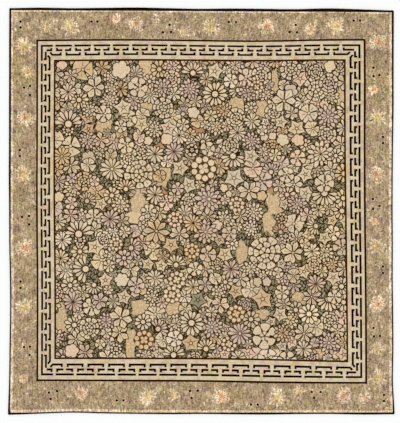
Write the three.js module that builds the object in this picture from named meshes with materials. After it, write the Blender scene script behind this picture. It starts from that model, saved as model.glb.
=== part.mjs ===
// A hand-knotted wool carpet lying flat on a floor: one knotted body, and the dark wool edging
// that is overcast round its rim, along both long sides and across both ends.
// Millimetres. +X runs to the right, +Y up the length of the carpet, +Z up from the floor.
import * as THREE from 'three';

// The carpet's own size, straight from edge to edge, before its edges wander.
const CARPET_WIDTH = 3464;
const CARPET_LENGTH = 3660;

// The body: a cotton foundation of warps and wefts, with the cut wool pile standing on it.
const FOUNDATION_THICKNESS = 3;
const PILE_HEIGHT = 7;
const CARPET_THICKNESS = FOUNDATION_THICKNESS + PILE_HEIGHT;

// The edging: wool yarn wound over the rim. It is a little fatter than the carpet is thick.
const EDGING_WIDTH = 14;
const EDGING_HEIGHT = 11;
const EDGING_ROUNDING = 3;
const EDGING_ROUND_STEPS = 2;
const CORNER_RADIUS = 9;
const CORNER_STEPS = 5;

// The seam left between two neighbouring pieces, and the spacing of the points along an edge.
const SEAM = 0.3;
const EDGE_STEP = 95;

const HALF_WIDTH = CARPET_WIDTH / 2;
const HALF_LENGTH = CARPET_LENGTH / 2;

// How far the rim stands out past the straight size, or in from it where the number is negative.
// The rows are evenly spaced: up the two sides from the near end, and across the two ends
// from left to right.
const SIDE_BULGE = [
  { left: 12, right: 12 },
  { left: 2, right: -3 },
  { left: -2, right: 1 },
  { left: -7, right: -1 },
  { left: -5, right: -5 },
  { left: 1, right: -4 },
  { left: 2, right: -6 },
  { left: 5, right: -5 },
  { left: 3, right: -2 },
  { left: 3, right: 3 },
  { left: 2, right: 3 },
  { left: 2, right: 4 },
  { left: 0, right: 5 },
];
const END_BULGE = [
  { near: 7, far: 1 },
  { near: -3, far: 6 },
  { near: -12, far: 1 },
  { near: -5, far: 4 },
  { near: -1, far: 7 },
  { near: 2, far: 1 },
  { near: 0, far: -5 },
  { near: 3, far: -2 },
  { near: 5, far: -5 },
  { near: 1, far: -8 },
  { near: 0, far: -1 },
  { near: 5, far: -9 },
  { near: 3, far: -20 },
];

// The bulge of one edge at a place along it, on a smooth curve through the rows of its table.
function bulgeAt(table, edge, along, halfSpan) {
  const last = table.length - 1;
  const bulge = (row) => table[THREE.MathUtils.clamp(row, 0, last)][edge];
  const place = THREE.MathUtils.clamp((along / halfSpan + 1) / 2, 0, 1) * last;
  const row = Math.min(Math.floor(place), last - 1);
  const t = place - row;
  const startSlope = (bulge(row + 1) - bulge(row - 1)) / 2;
  const endSlope = (bulge(row + 2) - bulge(row)) / 2;
  const start = bulge(row);
  const rise = bulge(row + 1) - start;
  const bend = 3 * rise - 2 * startSlope - endSlope;
  const twist = startSlope + endSlope - 2 * rise;
  return start + startSlope * t + bend * t ** 2 + twist * t ** 3;
}

// Moves a point of the straight rectangle to where the uneven carpet has it. The full bulge
// acts at the rim, and it is shared out evenly from one edge to the other.
function onUnevenCarpet(x, y) {
  const rightward = (x / HALF_WIDTH + 1) / 2;
  const farward = (y / HALF_LENGTH + 1) / 2;
  const left = bulgeAt(SIDE_BULGE, 'left', y, HALF_LENGTH);
  const right = bulgeAt(SIDE_BULGE, 'right', y, HALF_LENGTH);
  const near = bulgeAt(END_BULGE, 'near', x, HALF_WIDTH);
  const far = bulgeAt(END_BULGE, 'far', x, HALF_WIDTH);
  return new THREE.Vector2(
    x + THREE.MathUtils.lerp(-left, right, rightward),
    y + THREE.MathUtils.lerp(-near, far, farward),
  );
}

// The points of a straight stretch: its start, and each even step of the carpet that it
// crosses, so that pieces that lie side by side bend at the same places.
function pointsAlong(start, end) {
  const axis = Math.abs(end.x - start.x) > Math.abs(end.y - start.y) ? 'x' : 'y';
  const span = end[axis] - start[axis];
  const direction = Math.sign(span);
  const points = [start];
  const startLine = start[axis] / EDGE_STEP;
  let line = direction > 0 ? Math.floor(startLine) + 1 : Math.ceil(startLine) - 1;
  while (direction * (end[axis] - line * EDGE_STEP) > 0) {
    points.push(start.clone().lerp(end, (line * EDGE_STEP - start[axis]) / span));
    line += direction;
  }
  return points;
}

// A rectangle with some of its corners rounded, named by the side and end that they join, with
// points all along its edges, laid on the uneven carpet.
function unevenOutline({ left, right, near, far, roundCorners = [] }) {
  const corners = [
    { name: 'left near', x: left, y: near, inX: 1, inY: 1, startAngle: 180 },
    { name: 'right near', x: right, y: near, inX: -1, inY: 1, startAngle: 270 },
    { name: 'right far', x: right, y: far, inX: -1, inY: -1, startAngle: 0 },
    { name: 'left far', x: left, y: far, inX: 1, inY: -1, startAngle: 90 },
  ];
  const straight = [];
  for (const corner of corners) {
    if (!roundCorners.includes(corner.name)) {
      straight.push(new THREE.Vector2(corner.x, corner.y));
      continue;
    }
    for (let step = 0; step <= CORNER_STEPS; step += 1) {
      const angle = THREE.MathUtils.degToRad(corner.startAngle + 90 * step / CORNER_STEPS);
      straight.push(new THREE.Vector2(
        corner.x + CORNER_RADIUS * (corner.inX + Math.cos(angle)),
        corner.y + CORNER_RADIUS * (corner.inY + Math.sin(angle)),
      ));
    }
  }
  const outline = straight.flatMap((start, index) => (
    pointsAlong(start, straight[(index + 1) % straight.length])
  ));
  return new THREE.Shape(outline.map((point) => onUnevenCarpet(point.x, point.y)));
}

// The knotted body stops just short of the edging all round.
function makeBody() {
  const inset = EDGING_WIDTH + SEAM;
  const outline = unevenOutline({
    left: inset - HALF_WIDTH,
    right: HALF_WIDTH - inset,
    near: inset - HALF_LENGTH,
    far: HALF_LENGTH - inset,
  });
  return new THREE.ExtrudeGeometry(outline, { depth: CARPET_THICKNESS, bevelEnabled: false });
}

// One length of edging, rounded over along its edges as the wound yarn rounds it.
function makeEdging(limits) {
  const edging = new THREE.ExtrudeGeometry(unevenOutline(limits), {
    depth: EDGING_HEIGHT - 2 * EDGING_ROUNDING,
    bevelThickness: EDGING_ROUNDING,
    bevelSize: EDGING_ROUNDING,
    bevelOffset: -EDGING_ROUNDING,
    bevelSegments: EDGING_ROUND_STEPS,
  });
  edging.translate(0, 0, EDGING_ROUNDING);
  return edging;
}

// The side edging runs the full length and takes the carpet's round corners.
const makeLeftEdging = () => makeEdging({
  left: -HALF_WIDTH,
  right: EDGING_WIDTH - HALF_WIDTH,
  near: -HALF_LENGTH,
  far: HALF_LENGTH,
  roundCorners: ['left near', 'left far'],
});
const makeRightEdging = () => makeEdging({
  left: HALF_WIDTH - EDGING_WIDTH,
  right: HALF_WIDTH,
  near: -HALF_LENGTH,
  far: HALF_LENGTH,
  roundCorners: ['right near', 'right far'],
});

// The end edging fits between the two side lengths.
const END_EDGING_REACH = HALF_WIDTH - EDGING_WIDTH - SEAM;
const makeNearEdging = () => makeEdging({
  left: -END_EDGING_REACH,
  right: END_EDGING_REACH,
  near: -HALF_LENGTH,
  far: EDGING_WIDTH - HALF_LENGTH,
});
const makeFarEdging = () => makeEdging({
  left: -END_EDGING_REACH,
  right: END_EDGING_REACH,
  near: HALF_LENGTH - EDGING_WIDTH,
  far: HALF_LENGTH,
});

const knottedWool = new THREE.MeshStandardMaterial({
  color: 0xab9576,
  roughness: 0.95,
  metalness: 0,
});
const edgingWool = new THREE.MeshStandardMaterial({
  color: 0x2e2013,
  roughness: 0.95,
  metalness: 0,
});

function namedMesh(name, geometry, material) {
  const mesh = new THREE.Mesh(geometry, material);
  mesh.name = name;
  return mesh;
}

const carpet = new THREE.Group();
carpet.add(
  namedMesh('carpet_body', makeBody(), knottedWool),
  namedMesh('edging_left', makeLeftEdging(), edgingWool),
  namedMesh('edging_right', makeRightEdging(), edgingWool),
  namedMesh('edging_near', makeNearEdging(), edgingWool),
  namedMesh('edging_far', makeFarEdging(), edgingWool),
);

export default carpet;
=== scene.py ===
import cmath
import math
import random

import bmesh
import bpy
import numpy as np
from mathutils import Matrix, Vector
from mathutils.geometry import delaunay_2d_cdt


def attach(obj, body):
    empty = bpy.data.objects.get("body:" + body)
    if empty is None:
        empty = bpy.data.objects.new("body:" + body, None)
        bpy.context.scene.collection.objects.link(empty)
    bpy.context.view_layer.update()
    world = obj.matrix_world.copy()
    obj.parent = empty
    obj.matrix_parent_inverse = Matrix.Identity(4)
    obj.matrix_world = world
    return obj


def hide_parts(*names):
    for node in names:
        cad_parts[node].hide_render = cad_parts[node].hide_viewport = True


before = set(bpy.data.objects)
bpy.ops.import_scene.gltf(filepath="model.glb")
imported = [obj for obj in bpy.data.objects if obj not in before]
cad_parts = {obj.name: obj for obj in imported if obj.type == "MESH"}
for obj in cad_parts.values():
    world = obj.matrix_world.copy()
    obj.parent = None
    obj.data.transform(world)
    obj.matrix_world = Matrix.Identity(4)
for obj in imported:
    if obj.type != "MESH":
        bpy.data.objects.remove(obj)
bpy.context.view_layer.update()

# The view: straight down on the carpet from high above, in a pale room with soft even light.
# One pixel of the photograph is 9 mm of carpet, and its middle is a little left of the carpet's.
MM = 0.001
PIXEL = 9.0148 * MM
PHOTO_HEIGHT = 423
VIEW_CENTRE = (-11.7 * MM, -3.2 * MM)
LENS = 50
SENSOR = 36
VIEW_DEPTH = 100
PILE_TOP = 10 * MM
CAMERA_HEIGHT = PILE_TOP + PHOTO_HEIGHT * PIXEL * LENS / SENSOR
FLOOR_SIZE = 60
FLOOR_DROP = 0.3 * MM
FLOOR_COLOUR = (0.95, 0.955, 0.955, 1)
SKY_STRENGTH = 0.86
LAMP_STRENGTH = 0.62
LAMP_SOFTNESS = math.radians(50)
LAMP_TURN = (math.radians(24), math.radians(-16), 0)
LAMP_HEIGHT = 4

bpy.ops.object.select_all(action='DESELECT')
bpy.ops.object.camera_add(location=(*VIEW_CENTRE, CAMERA_HEIGHT), rotation=(0, 0, 0))
camera = bpy.context.object
camera.name = "camera"
camera.data.lens = LENS
camera.data.sensor_width = SENSOR
camera.data.clip_end = VIEW_DEPTH
scene = bpy.context.scene
scene.camera = camera
scene.view_settings.view_transform = 'Standard'

bpy.ops.object.light_add(type='SUN', location=(0, 0, LAMP_HEIGHT), rotation=LAMP_TURN)
lamp = bpy.context.object
lamp.name = "soft_lamp"
lamp.data.energy = LAMP_STRENGTH
lamp.data.angle = LAMP_SOFTNESS

scene.world = bpy.data.worlds.new("pale_room")
scene.world.use_nodes = True
sky = scene.world.node_tree.nodes["Background"]
sky.inputs["Color"].default_value = (1, 1, 1, 1)
sky.inputs["Strength"].default_value = SKY_STRENGTH

bpy.ops.mesh.primitive_plane_add(size=FLOOR_SIZE, location=(0, 0, -FLOOR_DROP))
floor = bpy.context.object
floor.name = "floor"
floor_paint = bpy.data.materials.new("pale_floor")
floor_paint.use_nodes = True
floor_shader = floor_paint.node_tree.nodes["Principled BSDF"]
floor_shader.inputs["Base Color"].default_value = FLOOR_COLOUR
floor_shader.inputs["Roughness"].default_value = 1
floor_shader.inputs["Specular IOR Level"].default_value = 0
floor.data.materials.append(floor_paint)

# The foundation: white cotton warps with cotton wefts beaten down on them, a stiff cloth 3 mm
# thick that carries every knot. The loom drew it in and let it out, so no edge of it is straight.
HALF_WIDTH = 3464 / 2 * MM
HALF_LENGTH = 3660 / 2 * MM
EDGING_WIDTH = 14 * MM
SEAM = 0.3 * MM
FOUNDATION_TOP = 3 * MM
BODY_HALF_WIDTH = HALF_WIDTH - EDGING_WIDTH - SEAM
BODY_HALF_LENGTH = HALF_LENGTH - EDGING_WIDTH - SEAM
EDGE_STEP = 47.5 * MM

# The lines between the borders, as half sizes of the straight plan, and how far in millimetres
# each edge stands out past the straight. Places are evenly spaced, up from the near end and
# across from the left.
OUTER_LINE_HALF = (1486.5 * MM, 1546 * MM)
FIELD_LINE_HALF = (1320.5 * MM, 1355.5 * MM)
RIM_BULGE = {
    "left": (12, 2, -2, -7, -5, 1, 2, 5, 3, 3, 2, 2, 0),
    "right": (12, -3, 1, -1, -5, -4, -6, -5, -2, 3, 3, 4, 5),
    "near": (7, -3, -12, -5, -1, 2, 0, 3, 5, 1, 0, 5, 3),
    "far": (1, 6, 1, 4, 7, 1, -5, -2, -5, -8, -1, -9, -20),
}
OUTER_LINE_BULGE = {
    "left": (2, -1, -2, 4, 2, 1, 1),
    "right": (9, 8, 4, -3, -5, -3, -8),
    "near": (-12, -12, -9, -6, 5, 10, 9),
    "far": (-2, 4, 6, -1, -6, 6, 6),
}
FIELD_LINE_BULGE = {
    "left": (8, 5, 6, 13, 13, 9, 8),
    "right": (5, 4, -2, -10, -17, -18, -20),
    "near": (-21, -21, -20, -18, -9, 5, 15),
    "far": (9, 11, 17, 13, 10, 15, 13),
}
PLAN_EDGES = (
    ((HALF_WIDTH, HALF_LENGTH), RIM_BULGE),
    (OUTER_LINE_HALF, OUTER_LINE_BULGE),
    (FIELD_LINE_HALF, FIELD_LINE_BULGE),
)


def bulge_at(places, along, half_span):
    """How far an edge stands out, on a smooth curve through its evenly spaced places."""
    places = np.array(places) * MM
    last = len(places) - 1
    position = np.clip((along / half_span + 1) / 2, 0, 1) * last
    place = np.minimum(position.astype(int), last - 1)
    t = position - place
    before, start, end, after = (places[np.clip(place + step, 0, last)] for step in (-1, 0, 1, 2))
    start_slope = (end - before) / 2
    end_slope = (after - start) / 2
    bend = 3 * (end - start) - 2 * start_slope - end_slope
    twist = start_slope + end_slope - 2 * (end - start)
    return start + start_slope * t + bend * t ** 2 + twist * t ** 3


def shift_of(across, along, axis, low_side, high_side):
    """The shift across an axis, shared out evenly from each edge of the plan to the next."""
    low = [(-half[axis], -bulge_at(bulge[low_side], along, PLAN_EDGES[0][0][1 - axis]))
           for half, bulge in PLAN_EDGES]
    high = [(half[axis], bulge_at(bulge[high_side], along, PLAN_EDGES[0][0][1 - axis]))
            for half, bulge in reversed(PLAN_EDGES)]
    stops = np.array([stop for stop, _ in low + high])
    shifts = np.array([shift for _, shift in low + high])
    band = np.clip(np.searchsorted(stops, across) - 1, 0, len(stops) - 2)
    t = (across - stops[band]) / (stops[band + 1] - stops[band])
    column = np.arange(len(across))
    return shifts[band, column] * (1 - t) + shifts[band + 1, column] * t


def laid(plan):
    """Where points of the straight plan lie on the uneven carpet, as complex numbers."""
    plan = np.asarray(plan, dtype=complex)
    x = plan.real
    y = plan.imag
    return (x + shift_of(x, y, 0, "left", "right")) + 1j * (y + shift_of(y, x, 1, "near", "far"))


def plan_of(point):
    """The point of the straight plan that lies at a point of the carpet, near enough."""
    return 2 * point - complex(laid([point])[0])


def straight_line(start, end, step=EDGE_STEP):
    """Points from start towards end, no further apart than a step, without the end itself."""
    count = max(1, math.ceil(abs(end - start) / step))
    return [start + (end - start) * k / count for k in range(count)]


def sides_of(half_width, half_length):
    """The sides of a rectangle about the middle of the carpet, each as its start and its end."""
    corners = [complex(x * half_width, y * half_length) for x, y in ((-1, -1), (1, -1), (1, 1), (-1, 1))]
    return list(zip(corners, corners[1:] + corners[:1]))


def rectangle(half_width, half_length):
    """The outline of that rectangle, with points all along it."""
    sides = sides_of(half_width, half_length)
    return [point for start, end in sides for point in straight_line(start, end)]


def linear(red, green, blue):
    """A wool's colour, from the shade seen on a scale of 0 to 255."""
    return tuple((shade / 255) ** 2.2 for shade in (red, green, blue))


class Flow:
    """What flows out of a node's socket. Sums on it add nodes to the same material."""

    def __init__(self, tree, socket=None):
        self.tree = tree
        self.socket = socket

    def node(self, kind, settings=None, inputs=None, output=0):
        made = self.tree.nodes.new(kind)
        for name, value in (settings or {}).items():
            setattr(made, name, value)
        for name, value in (inputs or {}).items():
            if isinstance(value, Flow):
                self.tree.links.new(value.socket, made.inputs[name])
            else:
                made.inputs[name].default_value = value
        return Flow(self.tree, made.outputs[output])

    def maths(self, operation, *values):
        return self.node("ShaderNodeMath", {"operation": operation}, dict(enumerate(values or (self,))))

    def __add__(self, other):
        return self.maths('ADD', self, other)

    __radd__ = __add__

    def __sub__(self, other):
        return self.maths('SUBTRACT', self, other)

    def __mul__(self, other):
        return self.maths('MULTIPLY', self, other)

    def stretched(self, x, y, z=1.0):
        return self.node("ShaderNodeVectorMath", {"operation": 'MULTIPLY'}, {0: self, 1: (x, y, z)})

    def noise(self, scale, detail=2.0, roughness=0.5):
        inputs = {"Vector": self, "Scale": scale, "Detail": detail, "Roughness": roughness}
        return self.node("ShaderNodeTexNoise", None, inputs)

    def between(self, low, high):
        inputs = {"Value": self, "From Min": low, "From Max": high}
        return self.node("ShaderNodeMapRange", {"interpolation_type": 'SMOOTHSTEP'}, inputs)

    def grey(self):
        return self.node("ShaderNodeCombineColor", None, {0: self, 1: self, 2: self})

    def dyed(self, colour, amount, blend='MIX'):
        settings = {"data_type": 'RGBA', "blend_type": blend}
        colour = colour if isinstance(colour, Flow) else (*colour, 1)
        return self.node("ShaderNodeMix", settings, {0: amount, 6: self, 7: colour}, 2)


def plain_wool(tree, shade):
    """A flow of one even colour, for others to be dyed over."""
    wool = Flow(tree).node("ShaderNodeRGB")
    wool.socket.default_value = (*shade, 1)
    return wool


SHEEN = 0.02


def new_material(name, roughness):
    """A material with a matt shader, the shader itself, and its object coordinates."""
    material = bpy.data.materials.new(name)
    material.use_nodes = True
    shader = material.node_tree.nodes["Principled BSDF"]
    shader.inputs["Roughness"].default_value = roughness
    shader.inputs["Specular IOR Level"].default_value = SHEEN
    place = Flow(material.node_tree).node("ShaderNodeTexCoord", None, None, "Object")
    return material, shader, place


def finish_surface(material, shader, colour, height, distance):
    """Joins the colour and the bump height to the shader."""
    tree = material.node_tree
    inputs = {"Strength": 1.0, "Distance": distance, "Height": height}
    bump = colour.node("ShaderNodeBump", None, inputs)
    tree.links.new(colour.socket, shader.inputs["Base Color"])
    tree.links.new(bump.socket, shader.inputs["Normal"])


def new_piece(name, points, faces, material):
    """A mesh object at the origin, with its place in its mesh."""
    mesh = bpy.data.meshes.new(name)
    mesh.from_pydata(points, [], faces)
    mesh.materials.append(material)
    piece = bpy.data.objects.new(name, mesh)
    scene.collection.objects.link(piece)
    return piece


# The back shows the knots' loops between the wefts, in the mixed colours of the drawing.
BACK_KNOT = 3.2 * MM
BACK_RELIEF = 0.8 * MM
BACK_FIGURE = 22
COTTON = linear(206, 190, 160)
BACK_WOOL = (linear(206, 182, 146), linear(96, 78, 50))
MATT = 0.95

cotton, cotton_shader, place = new_material("cotton_foundation", MATT)
loops = place.stretched(1 / BACK_KNOT, 1 / BACK_KNOT, 0)
loop = loops.node("ShaderNodeVectorMath", {"operation": 'FLOOR'}, {0: loops})
loop_tone = loop.node("ShaderNodeTexWhiteNoise", None, {"Vector": loop}, "Value")
weft = loops.stretched(0, math.tau, 0)
weft = weft.node("ShaderNodeSeparateXYZ", None, {0: weft}, 1).maths('COSINE')
figure = place.noise(BACK_FIGURE, 4, 0.7).between(0.44, 0.56)
back = plain_wool(place.tree, BACK_WOOL[0]).dyed(BACK_WOOL[1], figure * (0.6 + loop_tone * 0.4))
back = back.dyed(COTTON, weft.between(0.55, 0.95) * 0.7)
finish_surface(cotton, cotton_shader, back, loop_tone * 0.3 - weft * 0.7, BACK_RELIEF)

body_outline = laid(rectangle(BODY_HALF_WIDTH, BODY_HALF_LENGTH))
count = len(body_outline)
points = [(p.real, p.imag, 0) for p in body_outline]
points += [(p.real, p.imag, FOUNDATION_TOP) for p in body_outline]
faces = [tuple(reversed(range(count))), tuple(range(count, 2 * count))]
faces += [(k, (k + 1) % count, count + (k + 1) % count, count + k) for k in range(count)]
foundation = new_piece("foundation", points, faces, cotton)
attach(foundation, "root")
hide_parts("carpet_body")

# The field: a ground of packed leaves under flowers of many kinds, each petal knotted in undyed
# or softly dyed wool and divided from the next by a dark brown line, whose wool has worn lower.
PILE_FOOT = 2.6 * MM
PETAL_HEIGHT = 9.4 * MM
LINE_HEIGHT = 8.7 * MM
WORN_HEIGHT = 7.6 * MM
LINE_WIDTH = 9 * MM
OUTLINE = 7.6 * MM
# What an area's wool is: plain, worn to the knots, or a ground of small leaves.
PLAIN = 1.0
WORN = 0.5
LEAFY = 0.0
# A coming flower hides what lies within this share of its reach.
HIDDEN_SHARE = 0.72
# Plain areas have no reach of their own, and this stands in for it, so that it can be divided by.
SMALLEST_REACH = 1e-6

# Wools as (at the tip, at the heart), in shades of 0 to 255.
WOOLS = {
    "cream": ((218, 197, 164), (206, 185, 151)),
    "white": ((229, 209, 178), (217, 196, 164)),
    "straw": ((220, 198, 158), (209, 186, 145)),
    "pink": ((222, 195, 164), (214, 182, 152)),
    "rose": ((219, 188, 159), (209, 174, 147)),
    "lilac": ((210, 187, 161), (192, 168, 147)),
    "purple": ((213, 190, 163), (172, 146, 128)),
    "grey": ((206, 185, 152), (190, 169, 137)),
    "tan": ((212, 183, 141), (200, 170, 128)),
    "orange": ((214, 186, 146), (202, 170, 128)),
    "rust": ((180, 138, 98), (154, 110, 72)),
    "brown": ((207, 180, 142), (176, 146, 109)),
    "olive": ((152, 142, 106), (130, 120, 86)),
    "sage": ((160, 152, 122), (138, 130, 102)),
    "moss": ((140, 130, 96), (118, 108, 76)),
    "line": ((58, 33, 6), (58, 33, 6)),
    "violet line": ((70, 42, 36), (70, 42, 36)),
    "brown line": ((92, 62, 32), (92, 62, 32)),
    "ground": ((138, 130, 100), (138, 130, 100)),
}
LINES = ("line", "line", "line", "violet line")
PETAL_WOOLS = ("cream", "cream", "pink", "cream", "tan", "lilac", "cream", "grey", "white", "cream",
               "straw")
LEAF_WOOLS = ("olive", "sage", "moss", "sage", "olive", "grey")
rng = random.Random(1908)


class Drawing:
    """A weaver's drawing: areas of wool, each laid over the ones before it."""

    def __init__(self, outline, wool, hole=None):
        self.points = []
        self.loops = []
        self.tips = []
        self.hearts = []
        self.middles = []
        self.reaches = []
        self.heights = []
        self.kinds = []
        self.to_come = []
        self.has_hole = hole is not None
        self.area(outline, wool, spread=0)
        if self.has_hole:
            self.area(hole, wool, spread=0)

    def hides(self, outline):
        """Whether a flower that is still to come will cover an area altogether."""
        centre = sum(outline) / len(outline)
        size = max(abs(point - centre) for point in outline)
        return any(abs(centre - at) + size < HIDDEN_SHARE * reach for at, reach in self.to_come)

    def area(self, outline, wool, middle=0, reach=0, height=PETAL_HEIGHT, spread=0.05):
        """Lays down an area, whose wool turns from the heart's shade to the tip's over its reach."""
        if self.hides(outline):
            return
        first = len(self.points)
        swept = sum((outline[k - 1].conjugate() * outline[k]).imag for k in range(len(outline)))
        self.points.extend(outline if swept > 0 else outline[::-1])
        self.loops.append(list(range(first, len(self.points))))
        tip, heart = WOOLS[wool]
        dye_lot = 1 + rng.uniform(-spread, spread)
        warmth = 1 + rng.uniform(-spread, spread) / 2
        shades = [[tone * dye_lot * change for tone, change in zip(linear(*shade), (warmth, 1, 1 / warmth))]
                  for shade in (tip, heart)]
        self.tips.append(shades[0])
        self.hearts.append(shades[1])
        self.middles.append(middle)
        self.reaches.append(max(reach, SMALLEST_REACH))
        self.heights.append(height)
        is_worn = wool == "tan" and height == WORN_HEIGHT
        self.kinds.append(LEAFY if wool == "ground" else WORN if is_worn else PLAIN)


# Where a line turns back on itself, and how far its sharp corners may stand out.
TURNS_BACK = 0.1
OUTLINE_CORNER = 0.6
STROKE_CORNER = 0.5


def grown(outline, by):
    """An outline moved outwards by a width, with its sharp corners held back."""
    count = len(outline)
    result = []
    for k, point in enumerate(outline):
        before = point - outline[k - 1]
        after = outline[(k + 1) % count] - point
        lean = -1j * (before / abs(before) + after / abs(after))
        lean = lean if abs(lean) > TURNS_BACK else before / abs(before)
        result.append(point + lean / abs(lean) * by / max(OUTLINE_CORNER, abs(lean) / 2))
    return result


def stroke(path, width):
    """The outline of a line of even width along a path."""
    sides = ([], [])
    for k, point in enumerate(path):
        before = point - path[k - 1] if k > 0 else path[1] - point
        after = path[k + 1] - point if k < len(path) - 1 else before
        before /= abs(before)
        after /= abs(after)
        lean = 1j * (before + after)
        reach = lean / abs(lean) * width / 2 / max(STROKE_CORNER, abs(lean) / 2)
        sides[0].append(point - reach)
        sides[1].append(point + reach)
    return sides[0] + sides[1][::-1]


def spoked(at, spokes):
    """An outline round a heart, through the ends of spokes given as (angle, length)."""
    return [at + cmath.rect(length, angle) for angle, length in sorted(spokes)]


# Petals as (along, share): how far from foot to tip, and the share of the room they fill there.
POINTED = ((0, 0), (0.3, 0.95), (0.7, 1), (0.88, 0.6), (1, 0))
SPINDLE = ((0, 0), (0.4, 1), (0.68, 0.86), (1, 0))
ROUNDED = ((0, 0.6), (0.45, 1), (0.84, 0.88), (1, 0.3))
LOBED = ((0, 0.6), (0.6, 1), (0.9, 0.94), (1, 0.5))

# A petal stops widening at a share of its length, and the line beside it takes at most a third.
WIDEST = 0.82
LEAST_WIDTH = 0.66
PETAL_WAVER = (0.9, 1.06)


def petal_outline(at, angle, foot, length, spread, shape):
    """The outline of a petal that is as wide as the room between its neighbours leaves it."""
    direction = cmath.rect(1, angle)
    sides = ([], [])
    for along, share in shape:
        far = foot + (length - foot) * along
        room = min(far, WIDEST * length) * spread
        half = share * max(room - LINE_WIDTH / 2, LEAST_WIDTH * room)
        for side, way in zip(sides, (-1, 1) if share else (1,)):
            side.append(at + direction * complex(far, way * half * rng.uniform(*PETAL_WAVER)))
    return sides[0] + sides[1][::-1]


def disc(drawing, at, radius, wool, sides=8, height=PETAL_HEIGHT):
    """A round spot of wool."""
    outline = [at + cmath.rect(radius, math.tau * (k + 0.5) / sides) for k in range(sides)]
    drawing.area(outline, wool, height=height)


# A broad lobe more than this across has a short dark rib along it, from and to these places.
RIBBED_WIDTH = 20 * MM
RIB = (0.3, 0.72)
RIB_WIDTH = 0.5 * LINE_WIDTH
# The room of a petal is taken over this turn at most, and a dark disc joins the petals' feet.
WIDEST_PACE = 1.9
FOOT_DISC = 1.06


def petal_ring(drawing, at, reach, wool, petals, shape=POINTED, turn=None, foot=0.1, span=math.tau,
               line="line", uneven=0.08):
    """A ring or a fan of petals on their dark ground, which shows as the lines between them."""
    turn = rng.uniform(0, math.tau) if turn is None else turn
    pace = span / petals
    spread = math.tan(min(pace, WIDEST_PACE) / 2)
    foot *= reach
    outlines = []
    for k in range(petals):
        angle = turn - span / 2 + pace * (k + 0.5) + rng.uniform(-uneven, uneven) * pace
        length = reach * (1 + rng.uniform(-uneven, uneven))
        outlines.append((angle, length, petal_outline(at, angle, foot, length, spread, shape)))
    if line:
        for _, _, outline in outlines:
            drawing.area(grown(outline, OUTLINE), line, height=LINE_HEIGHT)
        if foot > LINE_WIDTH:
            sides = petals if span == math.tau else 2 * petals
            disc(drawing, at, foot * FOOT_DISC, line, sides, LINE_HEIGHT)
    for angle, length, outline in outlines:
        drawing.area(outline, wool, at, reach)
        if shape is LOBED and reach * spread > RIBBED_WIDTH:
            rib = [at + cmath.rect(foot + (length - foot) * along, angle) for along in RIB]
            drawing.area(stroke(rib, RIB_WIDTH), "line", height=LINE_HEIGHT)


def eyed(drawing, at, radius, rim, line, wool, sides=7):
    """A small round heart inside its own dark line."""
    disc(drawing, at, radius + rim, line, sides, LINE_HEIGHT)
    disc(drawing, at, radius, wool, 6)


DAISY_PETAL = 7 * MM
DOUBLE_DAISY = 62 * MM


def daisy(drawing, at, reach, wool):
    """One or two rows of narrow pointed petals that meet in a dark eye."""
    petals = max(7, min(13, round(reach / DAISY_PETAL)))
    line = "violet line" if wool in ("purple", "lilac") else rng.choice(LINES)
    petal_ring(drawing, at, reach, wool, petals, POINTED, line=line, uneven=0.12)
    if reach > DOUBLE_DAISY and rng.random() < 0.6:
        petal_ring(drawing, at, 0.6 * reach, wool, max(6, petals - 3), POINTED, line=line, uneven=0.12)
    if rng.random() < 0.4:
        eyed(drawing, at, 0.12 * reach, 0.5 * LINE_WIDTH, line, wool)


SUNFLOWER_PETAL = 8 * MM


def sunflower(drawing, at, reach, wool):
    """A daisy with a large plain heart."""
    petal_ring(drawing, at, reach, wool, max(9, round(reach / SUNFLOWER_PETAL)), POINTED, foot=0.32)
    disc(drawing, at, 0.25 * reach, wool)


FAN_PETALS = 8
FAN_SPAN = 3.3
FAN_HEART = 0.24


def fan(drawing, at, reach, wool, turn):
    """Half a flower seen from the side, its petals spread over a round heart."""
    petal_ring(drawing, at, reach, wool, FAN_PETALS, POINTED, turn, 0.3, span=FAN_SPAN)
    disc(drawing, at, FAN_HEART * reach + OUTLINE, rng.choice(LINES), height=LINE_HEIGHT)
    disc(drawing, at, FAN_HEART * reach, wool)


LILY_FOOT = 0.12
LILY_REACH = (0.9, 1.12)
LILY_RIB = (0.25, 0.7)
LILY_RIB_WIDTH = 0.3 * LINE_WIDTH


def lily(drawing, at, reach, wool):
    """A few long petals, well apart, that each have their own outline."""
    petals = rng.choice((6, 7, 8))
    turn = rng.uniform(0, math.tau)
    outlines = []
    for k in range(petals):
        angle = turn + math.tau * (k + rng.uniform(-0.1, 0.1)) / petals
        spread = math.tan(math.pi / petals) * 0.95
        length = reach * rng.uniform(*LILY_REACH)
        shape = petal_outline(at, angle, LILY_FOOT * reach, length, spread, SPINDLE)
        outlines.append(shape)
        drawing.area(grown(shape, OUTLINE), "line", height=LINE_HEIGHT)
    for shape in outlines:
        drawing.area(shape, wool, at, reach)
        rib = [shape[0] + (shape[len(shape) // 2] - shape[0]) * along for along in LILY_RIB]
        drawing.area(stroke(rib, LILY_RIB_WIDTH), "line", height=LINE_HEIGHT)
    disc(drawing, at, 0.1 * reach, wool, 6)


PLUM_HEART = 0.38
SIMPLE_PLUM = 52 * MM
SOLID_PLUM = 45 * MM


def plum(drawing, at, reach, wool):
    """Round petals about a ring of small ones, or about a plain heart in a small flower."""
    petals = 5 if reach < SIMPLE_PLUM else rng.choice((5, 6, 6, 7))
    turn = rng.uniform(0, math.tau)
    line = rng.choice(LINES)
    petal_ring(drawing, at, reach, wool, petals, ROUNDED, turn, PLUM_HEART, line=line)
    inner = PLUM_HEART * reach
    if reach > SOLID_PLUM:
        petal_ring(drawing, at, inner, wool, 5, ROUNDED, turn + 0.5, 0.22, line=None)
    else:
        disc(drawing, at, inner - LINE_WIDTH * 0.7, wool, 6)


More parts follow.
